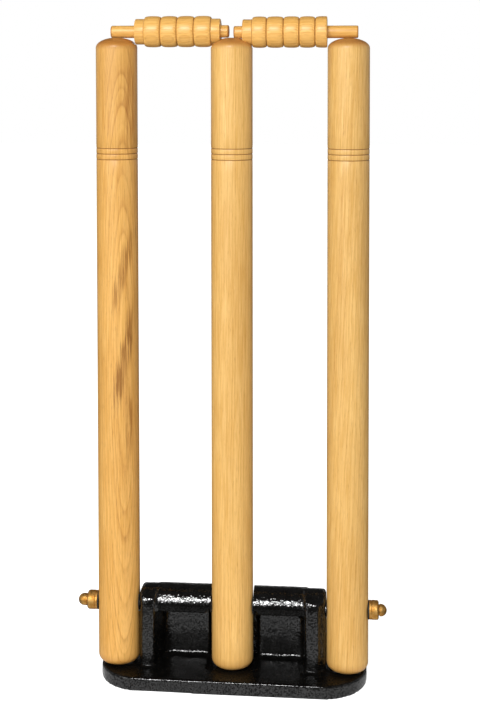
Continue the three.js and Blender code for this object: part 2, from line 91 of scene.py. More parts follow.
# Bails
BAIL_Z = STUMP_TOP + 5.15
SPIGOT_R = 5.6
COLLAR_R = 11.5
VALLEY_R = 12
BEAD_R = 14.0
GROOVE_EASE = 0.6
GROOVE_DROP = 0.75
SEAT_EASE = 0.4
SEAT_DROP = 0.2
LEFT_SEAT = (-89, -80)
CENTRE_SEAT_END = 24
LEFT_BAIL_Z = BAIL_Z + 0.4
RIGHT_BAIL_Z = BAIL_Z - 0.45
# From the tip over the centre stump outwards: collar, beads, then the outer spigot and its end
LEFT_BAIL = (2.3, 9.9, 17.95, 33.3, 48.6, 63.5, 78.6, 87.0, 109.2)
RIGHT_BAIL = (1.9, 10.0, 18.5, 31.7, 46.7, 60.7, 74.8, 85.4, 112.95)

# Rod and what is on it
ROD_Z = 67
ROD_R = 4
WASHER_R = 8.4
NUT_R = 8.5
NUT_LENGTH = 7.1
DOME_R = 5.4
DOME_LENGTH = 7.2
# Ends of the two washers, counted from the spot face
FIBRE_END = 1.2
BRASS_END = 3.6
SPACER_R, SPACER_END = 7.3, 86.05
THRUST_R, THRUST_START, THRUST_END = 7.5, 18.45, 19.95
BUSH_R, BUSH_START = 6.3, 63.75

# Casting
PLATE_TOP = 12.0
LUG_OUTER = 84.45
LUG_INNER = 63.45
LUG_FACE = 85.15
LUG_FRONT = -13
HOOD_LIP = 61.6
WEB_FRONT = 17
WEB_REAR = 29
# The lugs, hood and web start inside the plate, and are fused with it
ROOT_Z = 5
POCKET_HALF, POCKET_REAR, POCKET_TOP = 23, 22.95, 65
SLOT_HALF, SLOT_FLOOR = 19.4, 57.1


def linear(red, green, blue):
    """A colour written as 0 to 255 display values, as the linear colour that a shader takes."""
    def one(v):
        v /= 255
        return v / 12.92 if v <= 0.04045 else ((v + 0.055) / 1.055) ** 2.4
    return (one(red), one(green), one(blue), 1)


# Nodes: small helpers that add one node and return what it gives
def add(tree, kind, inputs=None, **settings):
    made = tree.nodes.new(kind)
    for name, value in settings.items():
        setattr(made, name, value)
    for key, value in (inputs or {}).items():
        if isinstance(value, bpy.types.NodeSocket):
            tree.links.new(value, made.inputs[key])
        else:
            made.inputs[key].default_value = value
    return made


def calc(tree, operation, a, b=0.0):
    return add(tree, "ShaderNodeMath", {0: a, 1: b}, operation=operation).outputs[0]


def product(tree, *factors):
    made = factors[0]
    for factor in factors[1:]:
        made = calc(tree, "MULTIPLY", made, factor)
    return made


def split(tree, vector):
    return add(tree, "ShaderNodeSeparateXYZ", {0: vector}).outputs


def ramp(tree, factor, stops, smooth=True):
    made = add(tree, "ShaderNodeValToRGB", {"Fac": factor})
    made.color_ramp.interpolation = "EASE" if smooth else "LINEAR"
    elements = made.color_ramp.elements
    while len(elements) < len(stops):
        elements.new(0.5)
    for element, (place, value) in zip(elements, stops):
        element.position = place
        element.color = value if isinstance(value, tuple) else (value, value, value, 1)
    return made.outputs["Color"]


def blend_colour(tree, factor, a, b, mode="MIX"):
    made = add(tree, "ShaderNodeMix", data_type="RGBA", blend_type=mode)
    for socket, value in ((made.inputs[0], factor), (made.inputs[6], a), (made.inputs[7], b)):
        if isinstance(value, bpy.types.NodeSocket):
            tree.links.new(value, socket)
        else:
            socket.default_value = value
    return made.outputs[2]


# Geometry Nodes: a turned solid from a profile
def group_input(tree, name, kind, value=None):
    socket = tree.interface.new_socket(name=name, in_out="INPUT", socket_type=kind)
    if value is not None:
        socket.default_value = value
    return socket.identifier


def finish_tree(tree, geometry, finish):
    real = add(tree, "GeometryNodeRealizeInstances", {0: geometry})
    dressed = add(tree, "GeometryNodeSetMaterial", {"Geometry": real.outputs[0], "Material": finish})
    add(tree, "NodeGroupOutput", {0: dressed.outputs[0]})


def lathe_tree():
    """Turns the points of a profile, (radius, 0, height) each, round Z into a closed skin."""
    tree = bpy.data.node_groups.new("turned_solid", "GeometryNodeTree")
    tree.interface.new_socket(name="Solid", in_out="OUTPUT", socket_type="NodeSocketGeometry")
    group_input(tree, "Profile", "NodeSocketGeometry")
    sockets = {
        "sides": group_input(tree, "Sides", "NodeSocketInt", 64),
        "finish": group_input(tree, "Finish", "NodeSocketMaterial"),
    }
    given = add(tree, "NodeGroupInput").outputs
    count = add(tree, "GeometryNodeAttributeDomainSize", {0: given["Profile"]}).outputs["Point Count"]
    around = calc(tree, "ADD", given["Sides"], 1)
    grid = add(tree, "GeometryNodeMeshGrid", {"Vertices X": around, "Vertices Y": count})
    place = split(tree, add(tree, "GeometryNodeInputPosition").outputs[0])
    angle = product(tree, calc(tree, "ADD", place[0], 0.5), 2 * math.pi)
    step = product(tree, calc(tree, "ADD", place[1], 0.5), calc(tree, "SUBTRACT", count, 1))
    index = add(tree, "FunctionNodeFloatToInt", {0: step}, rounding_mode="ROUND").outputs[0]
    sample = add(tree, "GeometryNodeSampleIndex", data_type="FLOAT_VECTOR", domain="POINT")
    tree.links.new(given["Profile"], sample.inputs["Geometry"])
    tree.links.new(add(tree, "GeometryNodeInputPosition").outputs[0], sample.inputs["Value"])
    tree.links.new(index, sample.inputs["Index"])
    point = split(tree, sample.outputs[0])
    x = product(tree, point[0], calc(tree, "COSINE", angle))
    y = product(tree, point[0], calc(tree, "SINE", angle))
    turned_place = add(tree, "ShaderNodeCombineXYZ", {0: x, 1: y, 2: point[2]}).outputs[0]
    skin = add(tree, "GeometryNodeSetPosition", {
        "Geometry": grid.outputs["Mesh"], "Position": turned_place})
    closed = add(tree, "GeometryNodeMergeByDistance", {
        "Geometry": skin.outputs[0], "Distance": DOUBLES})
    finish_tree(tree, closed.outputs[0], given["Finish"])
    return tree, sockets


def wire_tree():
    """A round wire along a path, its bends eased and its ends closed."""
    tree = bpy.data.node_groups.new("bent_wire", "GeometryNodeTree")
    tree.interface.new_socket(name="Wire", in_out="OUTPUT", socket_type="NodeSocketGeometry")
    group_input(tree, "Path", "NodeSocketGeometry")
    sockets = {
        "radius": group_input(tree, "Wire Radius", "NodeSocketFloat", 0.001),
        "bend": group_input(tree, "Bend Radius", "NodeSocketFloat", 0.002),
        "sides": group_input(tree, "Sides", "NodeSocketInt", 12),
        "finish": group_input(tree, "Finish", "NodeSocketMaterial"),
    }
    given = add(tree, "NodeGroupInput").outputs
    path = add(tree, "GeometryNodeMeshToCurve", {0: given["Path"]})
    bent = add(tree, "GeometryNodeFilletCurve", {
        "Curve": path.outputs[0], "Radius": given["Bend Radius"]})
    section = add(tree, "GeometryNodeCurvePrimitiveCircle", {
        "Resolution": given["Sides"], "Radius": given["Wire Radius"]})
    tube = add(tree, "GeometryNodeCurveToMesh", {
        "Curve": bent.outputs[0], "Profile Curve": section.outputs[0], "Fill Caps": True})
    finish_tree(tree, tube.outputs[0], given["Finish"])
    return tree, sockets


LATHE, LATHE_INPUT = lathe_tree()
WIRE, WIRE_INPUT = wire_tree()


# Mesh work
def shown(name, mesh):
    piece = bpy.data.objects.new(name, mesh)
    bpy.context.scene.collection.objects.link(piece)
    return piece


def settled(piece):
    """Applies a piece's modifiers to its mesh and takes them off."""
    bpy.context.view_layer.update()
    graph = bpy.context.evaluated_depsgraph_get()
    mesh = bpy.data.meshes.new_from_object(piece.evaluated_get(graph))
    piece.modifiers.clear()
    old = piece.data
    piece.data = mesh
    bpy.data.meshes.remove(old)
    mesh.name = piece.name
    return piece


def tidy(mesh, sharp=35):
    """Merges doubles, closes slits left by a cut, turns faces outwards and marks the sharp edges."""
    work = bmesh.new()
    work.from_mesh(mesh)
    bmesh.ops.remove_doubles(work, verts=work.verts, dist=DOUBLES)
    bmesh.ops.dissolve_degenerate(work, edges=work.edges, dist=DOUBLES)
    bmesh.ops.holes_fill(work, edges=[edge for edge in work.edges if edge.is_boundary], sides=8)
    bmesh.ops.recalc_face_normals(work, faces=work.faces)
    work.to_mesh(mesh)
    work.free()
    mesh.shade_smooth()
    mesh.set_sharp_from_angle(angle=math.radians(sharp))


def through_nodes(name, mesh, tree, identifiers, values):
    piece = shown(name, mesh)
    modifier = piece.modifiers.new("shape", "NODES")
    modifier.node_group = tree
    for key, value in values.items():
        modifier[identifiers[key]] = value
    return settled(piece)


def points_mesh(name, points, chained=False):
    mesh = bpy.data.meshes.new(name)
    edges = [(i, i + 1) for i in range(len(points) - 1)] if chained else []
    mesh.from_pydata([Vector(p) * MM for p in points], edges, [])
    return mesh


TO_AXIS = {
    "X": Matrix.Rotation(math.pi / 2, 4, "Y"),
    "Y": Matrix.Rotation(math.pi / 2, 4, "X"),
    "Z": Matrix.Identity(4),
}


def turned(name, profile, finish, axis, place, sides=64):
    """A solid turned from (radius, height) pairs, about an axis through a place in millimetres."""
    mesh = points_mesh(name, [(r, 0, h) for r, h in profile])
    piece = through_nodes(name, mesh, LATHE, LATHE_INPUT, {"sides": sides, "finish": finish})
    piece.data.transform(Matrix.Translation(Vector(place) * MM) @ TO_AXIS[axis])
    tidy(piece.data)
    return piece


def arc(centre, radius, start, end, steps):
    """Points on an arc, with its angles in degrees."""
    made = []
    for i in range(steps + 1):
        a = math.radians(start + (end - start) * i / steps)
        made.append((centre[0] + radius * math.cos(a), centre[1] + radius * math.sin(a)))
    return made


def eased(profile, radius, steps=4):
    """Rounds the corners inside a profile; each rounding is no more than a third of its sides."""
    points = [Vector(p) for p in profile]
    made = [points[0]]
    for before, corner, after in zip(points, points[1:], points[2:]):
        a, b = before - corner, after - corner
        if min(a.length, b.length) < 1e-9 or abs(a.normalized().dot(b.normalized())) > 0.97:
            made.append(corner)
            continue
        reach = min(radius, a.length / 3, b.length / 3)
        p, q = corner + a.normalized() * reach, corner + b.normalized() * reach
        for i in range(steps + 1):
            t = i / steps
            made.append(p * (1 - t) ** 2 + corner * 2 * t * (1 - t) + q * t * t)
    made.append(points[-1])
    return [tuple(p) for p in made]


def prism(name, outline, axis, low, high):
    """An outline pushed out along an axis: (y, z) along X, (x, z) along Y or (x, y) along Z."""
    def at(p, h):
        return {"X": (h, p[0], p[1]), "Y": (p[0], h, p[1]), "Z": (p[0], p[1], h)}[axis]
    return stack(name, [[at(p, low) for p in outline], [at(p, high) for p in outline]])


def stack(name, levels):
    """A closed skin over like outlines, one above another."""
    work = bmesh.new()
    rows = [[work.verts.new(Vector(p) * MM) for p in level] for level in levels]
    for low, high in zip(rows, rows[1:]):
        for i in range(len(low)):
            j = (i + 1) % len(low)
            work.faces.new((low[i], low[j], high[j], high[i]))
    work.faces.new(list(reversed(rows[0])))
    work.faces.new(rows[-1])
    bmesh.ops.recalc_face_normals(work, faces=work.faces)
    mesh = bpy.data.meshes.new(name)
    work.to_mesh(mesh)
    work.free()
    return shown(name, mesh)


def block(name, low, high):
    (x0, y0, z0), (x1, y1, z1) = low, high
    return prism(name, [(x0, y0), (x1, y0), (x1, y1), (x0, y1)], "Z", z0, z1)


def joined(piece, others, operation):
    """Adds, cuts or intersects with other solids, which are used up."""
    for other in others:
        modifier = piece.modifiers.new("with", "BOOLEAN")
        modifier.operation = operation
        modifier.solver = "EXACT"
        modifier.object = other
        settled(piece)
        bpy.data.objects.remove(other)
    return piece


def rod_cutter(radius, low, high, axis, place, sides=64):
    profile = [(0, low), (radius, low), (radius, high), (0, high)]
    return turned("cutter", profile, None, axis, place, sides)


# Camera: the photograph's place, a little to the right of the middle and high above the base
CAMERA_PLACE = Vector((109.9, -1159.6, 550.3)) * MM
CAMERA_TARGET = Vector((-2.15, 0, 497.6)) * MM
CAMERA_LENS = 66.35
CAMERA_SHIFT = (0.015, -0.3102)
CAMERA_ROLL = math.radians(-0.086)

lens = bpy.data.cameras.new("camera")
lens.lens = CAMERA_LENS
lens.sensor_width = 36
lens.shift_x, lens.shift_y = CAMERA_SHIFT
camera = bpy.data.objects.new("camera", lens)
bpy.context.scene.collection.objects.link(camera)
look = (CAMERA_TARGET - CAMERA_PLACE).to_track_quat("-Z", "Y").to_matrix().to_4x4()
camera.matrix_world = Matrix.Translation(CAMERA_PLACE) @ look @ Matrix.Rotation(CAMERA_ROLL, 4, "Z")
bpy.context.scene.camera = camera
bpy.context.scene.view_settings.view_transform = "Standard"


# Finishes
def new_finish(name):
    made = bpy.data.materials.new(name)
    made.use_nodes = True
    made.node_tree.nodes.clear()
    return made, made.node_tree


def surface(tree, **inputs):
    named = {name.replace("_", " "): value for name, value in inputs.items()}
    shader = add(tree, "ShaderNodeBsdfPrincipled", named)
    add(tree, "ShaderNodeOutputMaterial", {"Surface": shader.outputs[0]})


def noise_of(tree, vector, scale, detail, rough=0.5):
    return add(tree, "ShaderNodeTexNoise", {
        "Vector": vector, "Scale": scale, "Detail": detail, "Roughness": rough}).outputs[0]


def noise_along(tree, value, scale):
    return add(tree, "ShaderNodeTexNoise", {"W": value, "Scale": scale, "Detail": 1},
               noise_dimensions="1D").outputs[0]


def vectors(tree, operation, a, b):
    return add(tree, "ShaderNodeVectorMath", {0: a, 1: b}, operation=operation).outputs[0]


def length_of(tree, vector):
    return add(tree, "ShaderNodeVectorMath", {0: vector}, operation="LENGTH").outputs["Value"]


def stretched(tree, vector, factors):
    return vectors(tree, "MULTIPLY", vector, factors)


def placed(tree, place, turn=(0, 0, 0), scale=(1, 1, 1)):
    """Object coordinates seen from a place in millimetres, turned by degrees and scaled."""
    source = add(tree, "ShaderNodeTexCoord").outputs["Object"]
    mapping = add(tree, "ShaderNodeMapping", {"Vector": source}, vector_type="TEXTURE")
    mapping.inputs["Location"].default_value = Vector(place) * MM
    mapping.inputs["Rotation"].default_value = [math.radians(a) for a in turn]
    mapping.inputs["Scale"].default_value = scale
    return mapping.outputs[0]


def bumped(tree, height, distance, strength, normal=None):
    inputs = {"Height": height, "Distance": distance, "Strength": strength}
    if normal is not None:
        inputs["Normal"] = normal
    return add(tree, "ShaderNodeBump", inputs).outputs[0]


RING_STAIN = linear(120, 66, 26)
# Painted shade for the valleys between a bail's beads
VALLEY_SHADE = linear(140, 82, 34)
# The darker tone of end grain, also used as painted shade at the stump crowns
END_GRAIN_AND_SHADE = linear(172, 108, 42)


def ash(name, pith, turn, pale, line, pore, ring, wander, figure, ends,
        bow=None, rings=(), valleys=None, streaks=()):
    """Lacquered ash: yearly rings round a pith, which may bow, with pores and fibres along the grain.

    Ends gives an axis, its low and high end, and how far the end grain's darker tone reaches in; at the
    stump crowns it is deepened as painted shade.
    A streak is a place, a lean in degrees, half sizes, a strength and a colour.
    """
    made, tree = new_finish(name)
    grain = placed(tree, pith, turn)
    slow = add(tree, "ShaderNodeTexNoise", {
        "Vector": stretched(tree, grain, (1, 1, 0.16)), "Scale": 26, "Detail": 2}).outputs["Color"]
    drift = vectors(tree, "SUBTRACT", slow, (0.5, 0.5, 0.5))
    drift = stretched(tree, drift, (wander * 4 * MM,) * 2 + (0,))
    warped = vectors(tree, "ADD", grain, drift)
    if bow:
        middle, depth = bow
        away = calc(tree, "SUBTRACT", split(tree, grain)[2], middle * MM)
        sag = product(tree, away, away, depth / MM)
        sag = add(tree, "ShaderNodeCombineXYZ", {1: sag}).outputs[0]
        warped = vectors(tree, "ADD", warped, sag)
    years = calc(tree, "DIVIDE", length_of(tree, stretched(tree, warped, (1, 1, 0))), ring * MM)
    years = calc(tree, "ADD", years, product(tree, noise_along(tree, years, 0.35), 1.4))
    early = ramp(tree, calc(tree, "FRACT", years), [
        (0, 0.25), (0.1, 1), (0.42, 0.35), (0.9, 0.0), (1, 0.25)])
    depth = product(tree, noise_along(tree, years, 0.9), 1.3)
    early = product(tree, early, calc(tree, "ADD", depth, -0.1))
    fibre = noise_of(tree, stretched(tree, grain, (1, 1, 0.035)), 860, 4, 0.6)
    cloud = noise_of(tree, stretched(tree, grain, (1, 1, 0.15)), 42, 2)
    hair = noise_of(tree, stretched(tree, grain, (1, 1, 0.1)), 1500, 2)
    pores = ramp(tree, hair, [(0.55, 0.0), (0.7, 1.0)], smooth=False)
    pores = product(tree, pores, calc(tree, "ADD", product(tree, early, 0.6), 0.3))
    tone = blend_colour(tree, product(tree, early, figure), pale, line)
    fibres = ramp(tree, fibre, [
        (0.36, (0.88, 0.8, 0.64, 1)), (0.64, (1.04, 1.06, 1.12, 1))], smooth=False)
    tone = blend_colour(tree, 1.0, tone, fibres, "MULTIPLY")
    clouds = ramp(tree, cloud, [
        (0.3, (0.9, 0.86, 0.8, 1)), (0.7, (1.05, 1.06, 1.08, 1))], smooth=False)
    tone = blend_colour(tree, 1.0, tone, clouds, "MULTIPLY")
    tone = blend_colour(tree, product(tree, pores, 0.55), tone, pore)
    for place, lean, size, strength, colour in streaks:
        local = placed(tree, place, (0, lean, 0), [s * MM for s in size])
        ragged = noise_of(tree, stretched(tree, grain, (1, 1, 0.05)), 420, 3)
        ragged = product(tree, calc(tree, "SUBTRACT", ragged, 0.5), 1.3)
        far = calc(tree, "ADD", length_of(tree, local), ragged)
        mask = ramp(tree, far, [(0.3, 1.0), (1.0, 0.0)])
        hairlines = ramp(tree, fibre, [(0.42, 1.1), (0.56, 0.15)])
        stripes = calc(tree, "ADD", product(tree, early, 0.6), hairlines)
        mask = product(tree, mask, stripes, strength)
        tone = blend_colour(tree, calc(tree, "MINIMUM", mask, 0.8), tone, colour)
    source = add(tree, "ShaderNodeTexCoord").outputs["Object"]
    if rings:
        # Painted light and shade: the wood is made lighter near the foot and darker towards the top, to
        # even out the lamps' fall-off down the stump
        along = calc(tree, "DIVIDE", split(tree, source)[2], 600 * MM)
        painted_falloff = ramp(tree, along, [
            (0.03, 0.93), (0.4, 0.835), (0.7, 0.8), (0.95, 0.765)], smooth=False)
        tone = blend_colour(tree, 1.0, tone, product(tree, painted_falloff, 1.18), "MULTIPLY")
    for z in rings:
        off = calc(tree, "ABSOLUTE", calc(tree, "SUBTRACT", split(tree, source)[2], z * MM))
        mask = ramp(tree, calc(tree, "DIVIDE", off, RING_WIDTH * MM), [(0.42, 1.0), (0.62, 0.0)])
        tone = blend_colour(tree, product(tree, mask, 0.62), tone, RING_STAIN)
    # Painted shade: the sharp valleys between a bail's beads are darkened
    if valleys:
        off_axis = length_of(tree, stretched(tree, placed(tree, (0, 0, valleys)), (0, 1, 1)))
        depth = calc(tree, "DIVIDE", off_axis, 20 * MM)
        mask = ramp(tree, depth, [(0.585, 0.0), (0.597, 0.75), (0.655, 0.0)])
        tone = blend_colour(tree, mask, tone, VALLEY_SHADE)
    axis, low, high, reach = ends
    along = split(tree, source)[axis]
    # The end grain takes the lacquer darker; at the stump crowns the stronger tone is also painted shade
    # under the bails
    for edge, sign in ((low, -1), (high, 1)):
        past = product(tree, calc(tree, "SUBTRACT", along, edge * MM), sign / (reach * MM))
        uneven = product(tree, calc(tree, "SUBTRACT", fibre, 0.5), 0.5)
        past = calc(tree, "ADD", calc(tree, "ADD", past, 1), uneven)
        mask = ramp(tree, past, [(0.05, 0.0), (0.7, 1.0)])
        strength = 0.85 if sign > 0 or axis == 0 else 0.35
        tone = blend_colour(tree, product(tree, mask, strength), tone, END_GRAIN_AND_SHADE)
    height = calc(tree, "ADD", product(tree, pores, -0.6), product(tree, fibre, 0.35))
    gloss = ramp(tree, fibre, [(0.3, 0.36), (0.7, 0.46)], smooth=False)
    surface(tree, Base_Color=tone, Roughness=gloss, IOR=1.5, Specular_IOR_Level=0.35,
            Coat_Weight=0.28, Coat_Roughness=0.34,
            Normal=bumped(tree, height, 0.00012, 0.5))
    return made


def enamel():
    """Thick black enamel over a rough sand casting: it pools in the grain, so the gloss breaks up.
    Round the plate's upper edge and along the hood's lip its gloss is cut, as painted shade."""
    made, tree = new_finish("black_enamel")
    local = placed(tree, (0, 0, 0))
    grit = noise_of(tree, local, 560, 1)
    pits = noise_of(tree, local, 760, 2, 0.6)
    lumps = noise_of(tree, local, 150, 2)
    tone = ramp(tree, lumps, [(0.3, (0.0028, 0.0027, 0.0025, 1)), (0.7, (0.0052, 0.005, 0.0047, 1))])
    across, ahead, height = split(tree, local)
    # Painted shade: the plate's upper face and the hood's lip lose most of their gloss, so they stay
    # dark
    edge = ramp(tree, calc(tree, "DIVIDE", height, 20 * MM), [
        (0.57, 0.0), (0.588, 1.0), (0.63, 1.0), (0.8, 0.0)])
    lip = ramp(tree, calc(tree, "DIVIDE", height, 100 * MM), [
        (0.56, 0.0), (0.57, 1.0), (0.69, 1.0), (0.715, 0.0)])
    in_front = calc(tree, "LESS_THAN", ahead, -6 * MM)
    between_lugs = calc(tree, "LESS_THAN", calc(tree, "ABSOLUTE", across), 67.5 * MM)
    shade_dulled = calc(tree, "MAXIMUM", edge, product(tree, lip, in_front, between_lugs, 0.9))
    gloss = calc(tree, "ADD", ramp(tree, grit, [(0.35, 0.07), (0.7, 0.13)]), product(tree, shade_dulled, 0.14))
    rise = bumped(tree, lumps, 0.0003, 0.6)
    rise = bumped(tree, grit, 0.00028, 1.0, rise)
    sheen = ramp(tree, pits, [(0.4, 0.1), (0.56, 0.82)])
    kept = calc(tree, "SUBTRACT", 1.0, product(tree, shade_dulled, 0.88))
    surface(tree, Base_Color=tone, Roughness=gloss, IOR=1.5,
            Specular_IOR_Level=product(tree, sheen, kept),
            Coat_Weight=calc(tree, "SUBTRACT", 0.07, product(tree, shade_dulled, 0.07)),
            Coat_Roughness=0.1, Normal=rise)
    return made


def metal(name, dark, light, rough, rings=(1, 1, 1), grain=900):
    """A turned or drawn metal, with fine tool marks across an axis and a little tarnish."""
    made, tree = new_finish(name)
    local = placed(tree, (0, 0, ROD_Z))
    marks = noise_of(tree, stretched(tree, local, rings), grain, 3)
    tarnish = noise_of(tree, local, 240, 3)
    tone = blend_colour(tree, ramp(tree, tarnish, [(0.35, 0.0), (0.65, 1.0)]), dark, light)
    gloss = ramp(tree, marks, [(0.3, rough * 0.8), (0.7, rough * 1.2)])
    surface(tree, Base_Color=tone, Metallic=1.0, Roughness=gloss,
            Normal=bumped(tree, marks, 0.00004, 0.5))
    return made


def dull(name, dark, light, rough, grain):
    """A dull black stuff, such as fibre or rubber, with a fine grain."""
    made, tree = new_finish(name)
    local = placed(tree, (0, 0, 0))
    speck = noise_of(tree, local, grain, 3)
    tone = blend_colour(tree, ramp(tree, speck, [(0.3, 0.0), (0.7, 1.0)]), dark, light)
    gloss = ramp(tree, speck, [(0.3, rough * 0.9), (0.7, min(1.0, rough * 1.1))])
    surface(tree, Base_Color=tone, Roughness=gloss, Normal=bumped(tree, speck, 0.00006, 0.5))
    return made


STUMP_ENDS = (2, STUMP_FOOT, STUMP_TOP, 12)
ASH_LEFT = ash(
    "ash_left", (-STUMP_SPACING + 34, -64, 0), (0, 0, 0),
    linear(235, 183, 101), linear(198, 138, 63), linear(146, 92, 40),
    ring=1.75, wander=0.8, figure=0.7, bow=(285, 0.00022), ends=STUMP_ENDS, rings=RING_PLACES,
    streaks=[
        ((-STUMP_SPACING + 8, -17, 376), 14, (6.5, 40, 56), 0.6, linear(152, 98, 40)),
        ((-STUMP_SPACING + 12, -17, 318), 6, (5.5, 40, 44), 0.5, linear(156, 100, 42)),
        ((-STUMP_SPACING + 7, -17, 288), 10, (6.5, 40, 54), 0.8, linear(140, 88, 36)),
        ((-STUMP_SPACING + 12, -17, 234), 1, (4, 40, 40), 0.65, linear(158, 100, 40)),
        ((-STUMP_SPACING + 14, -14, 520), 1, (6, 30, 60), 0.5, linear(164, 102, 42)),
    ])
ASH_CENTRE = ash(
    "ash_centre", (160, 12, 0), (0.3, 0.6, 0),
    linear(235, 190, 113), linear(207, 153, 78), linear(172, 116, 52),
    ring=2.4, wander=0.9, figure=0.45, ends=STUMP_ENDS, rings=RING_PLACES)
ASH_RIGHT = ash(
    "ash_right", (STUMP_SPACING - 110, -40, 0), (0.8, 2.2, 0),
    linear(235, 191, 115), linear(206, 152, 77), linear(168, 112, 50),
    ring=3.1, wander=1.3, figure=0.45, ends=STUMP_ENDS, rings=RING_PLACES)
ASH_BAIL_LEFT = ash(
    "ash_bail_left", (0, 50, BAIL_Z + 30), (0, 90, 0),
    linear(235, 185, 102), linear(196, 138, 64), linear(150, 96, 40),
    ring=1.3, wander=0.8, figure=0.75, ends=(0, -109.2, -2.3, 2), valleys=LEFT_BAIL_Z)
ASH_BAIL_RIGHT = ash(
    "ash_bail_right", (0, 50, BAIL_Z + 26), (0, 90, 0),
    linear(233, 182, 100), linear(194, 136, 62), linear(150, 96, 40),
    ring=1.3, wander=0.8, figure=0.75, ends=(0, 1.9, 113, 2), valleys=RIGHT_BAIL_Z)
ENAMEL = enamel()
BRASS = metal("turned_brass", linear(205, 150, 72), linear(230, 184, 108), 0.58, (1, 0.2, 0.2), 1800)
STEEL = metal("bright_steel", (0.3, 0.31, 0.33, 1), (0.46, 0.47, 0.49, 1), 0.32, (1, 0.15, 0.15), 1600)
# Dark oiled spring wire, kept near-black as painted shade where the coils show under the hood's lip
SPRING_STEEL_AND_SHADE = metal("oiled_spring_wire_and_shade", (0.03, 0.03, 0.032, 1), (0.08, 0.082, 0.088, 1), 0.4)
BRONZE = metal("sintered_bronze", (0.26, 0.12, 0.045, 1), (0.42, 0.21, 0.08, 1), 0.45)
# Blackened steel for the spacer and thrust washers, kept near-black as painted shade in the gaps beside
# the stumps
BLACKENED_AND_SHADE = dull("blackened_steel_and_shade", (0.006, 0.006, 0.0065, 1), (0.012, 0.012, 0.013, 1), 0.7, 1200)
FIBRE = dull("black_fibre", (0.006, 0.006, 0.006, 1), (0.016, 0.015, 0.014, 1), 0.6, 1500)
RUBBER = dull("black_rubber", (0.01, 0.01, 0.01, 1), (0.022, 0.022, 0.022, 1), 0.8, 900)


# Stumps: turned, then cut for the rod, its washers, the lock screws and the bails
def ring_groove(z):
    """One cut ring, with its edges softened by sanding."""
    half, sanded, sanding = RING_WIDTH / 2, STUMP_R - 0.08, 0.05
    return [
        (STUMP_R, z - half - 3 * sanding), (sanded, z - half + sanding),
        (STUMP_R - RING_DEPTH, z - 2 * sanding), (STUMP_R - RING_DEPTH, z + 2 * sanding),
        (sanded, z + half - sanding), (STUMP_R, z + half + 3 * sanding),
    ]


def stump_profile(foot, top, swell, crown_steps=24):
    """Swell is how much thicker the foot is than the rings, as turned by hand."""
    profile = [(0, foot)]
    for r, h in arc((0, 0), FOOT_ROUNDING, -90, 0, 14):
        profile.append((STUMP_R + swell - FOOT_ROUNDING + r, foot + FOOT_ROUNDING + h))
    for z in range(SHAFT_LOW, SHAFT_HIGH, 30):
        profile.append((STUMP_R + swell * (SHAFT_HIGH - z) / (SHAFT_HIGH - SHAFT_LOW), z))
    for z in RING_PLACES:
        profile += ring_groove(z)
    for z in range(500, 575, 20):
        profile.append((STUMP_R, z))
    for i in range(crown_steps):
        a = math.pi / 2 * i / crown_steps
        profile.append((STUMP_R * math.cos(a), top - CROWN_HEIGHT * (1 - math.sin(a))))
    profile.append((0, top))
    return profile


def stump(name, x, finish, seats, spot_r, foot=STUMP_FOOT, top=STUMP_TOP, swell=0.0):
    """Seats are the (radius, start, end) of the hollows that a bail's collar and bead lie in."""
    piece = turned(name, stump_profile(foot, top, swell), finish, "Z", (x, 0, 0), 120)
    past = STUMP_R + 5
    face = STUMP_R - SPOT_DEPTH
    rod = (x, 0, ROD_Z)
    bore = [(0, -past), (spot_r, -past), (spot_r, -face), (BORE_R, -face),
            (BORE_R, face), (spot_r, face), (spot_r, past), (0, past)]
    groove = (x, 0, BAIL_Z + GROOVE_EASE - GROOVE_DROP)
    cutters = [
        turned("cutter", bore, None, "X", rod),
        rod_cutter(SPIGOT_R + GROOVE_EASE, -past, past, "X", groove, 96),
        rod_cutter(SCREW_HOLE_R, -past, -SCREW_HOLE_END, "Y", rod),
    ]
    for radius, start, end in seats:
        cutters.append(rod_cutter(radius + SEAT_EASE, start, end, "X", (0, 0, BAIL_Z - SEAT_DROP), 96))
    joined(piece, cutters, "DIFFERENCE")
    tidy(piece.data, 30)
    return piece


centre_seats = [
    (COLLAR_R, -CENTRE_SEAT_END, -LEFT_BAIL[1] + SEAT_EASE),
    (BEAD_R, -CENTRE_SEAT_END, -LEFT_BAIL[2] + SEAT_EASE),
    (COLLAR_R, RIGHT_BAIL[1] - SEAT_EASE, CENTRE_SEAT_END),
    (BEAD_R, RIGHT_BAIL[2] - SEAT_EASE, CENTRE_SEAT_END),
]
stumps = [
    (stump("turned_stump_left", -STUMP_SPACING, ASH_LEFT, [(COLLAR_R, *LEFT_SEAT)],
           WASHER_R + SPOT_EASE, top=STUMP_TOP + 0.5, swell=0.3), "stump_left", "dark_ash"),
    (stump("turned_stump_centre", 0, ASH_CENTRE, centre_seats,
           THRUST_R + SPOT_EASE, foot=STUMP_FOOT - 0.8, swell=0.1), "stump_centre", "ash"),
    (stump("turned_stump_right", STUMP_SPACING, ASH_RIGHT, [],
           WASHER_R + SPOT_EASE, foot=STUMP_FOOT - 0.1, top=STUMP_TOP - 0.7, swell=0.1),
     "stump_right", "ash"),
]
for piece, node, slot in stumps:
    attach(piece, "stumps")
    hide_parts(node)


# Bails: spigots, collars and full beads with sharp valleys between them
def bead(start, end, until=1.0, steps=20, fullness=2.6):
    made = []
    for i in range(steps + 1):
        share = i / steps
        if share > until + 1e-6:
            break
        bulge = (1 - abs(2 * share - 1) ** fullness) ** (1 / fullness)
        made.append((VALLEY_R + (BEAD_R - VALLEY_R) * bulge, start + (end - start) * share))
    return made


